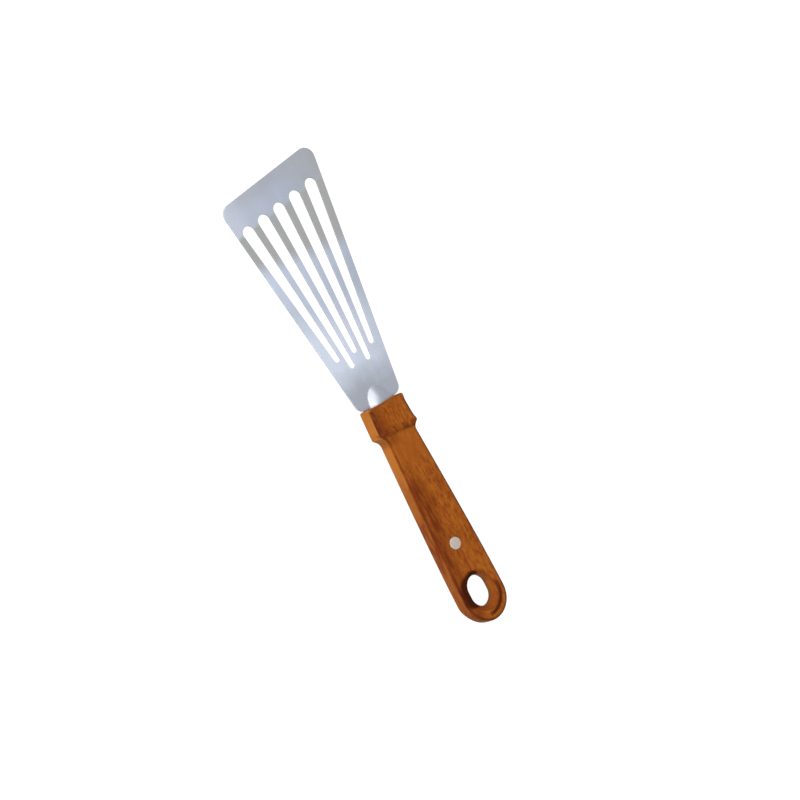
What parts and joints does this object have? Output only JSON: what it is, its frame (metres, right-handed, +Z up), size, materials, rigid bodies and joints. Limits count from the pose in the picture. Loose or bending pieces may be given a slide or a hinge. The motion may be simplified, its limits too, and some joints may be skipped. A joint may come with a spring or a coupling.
{
  "type": "slotted spatula",
  "caption": "Slotted turner: a fan-shaped steel blade with tapered slots, a slanted front edge and a pressed neck bead, riveted into a wooden handle with a hang hole.",
  "frame": {"origin": "on the flat underside of the collar, at its middle, where the tool rests", "axes": "+X along the tool towards the front edge of the blade, +Z up, +Y to the left as seen from the handle"},
  "size_m": [0.319, 0.079, 0.015],
  "materials": {
    "satin_steel": "satin stainless steel",
    "wood": "oiled red-brown hardwood with a low sheen",
    "rivet_metal": "plain matt aluminium"
  },
  "bodies": {
    "root": {"blade": "satin_steel", "handle": "wood", "rivet_pin": "rivet_metal", "rivet_sleeve": "rivet_metal"}
  },
  "joints": []
}
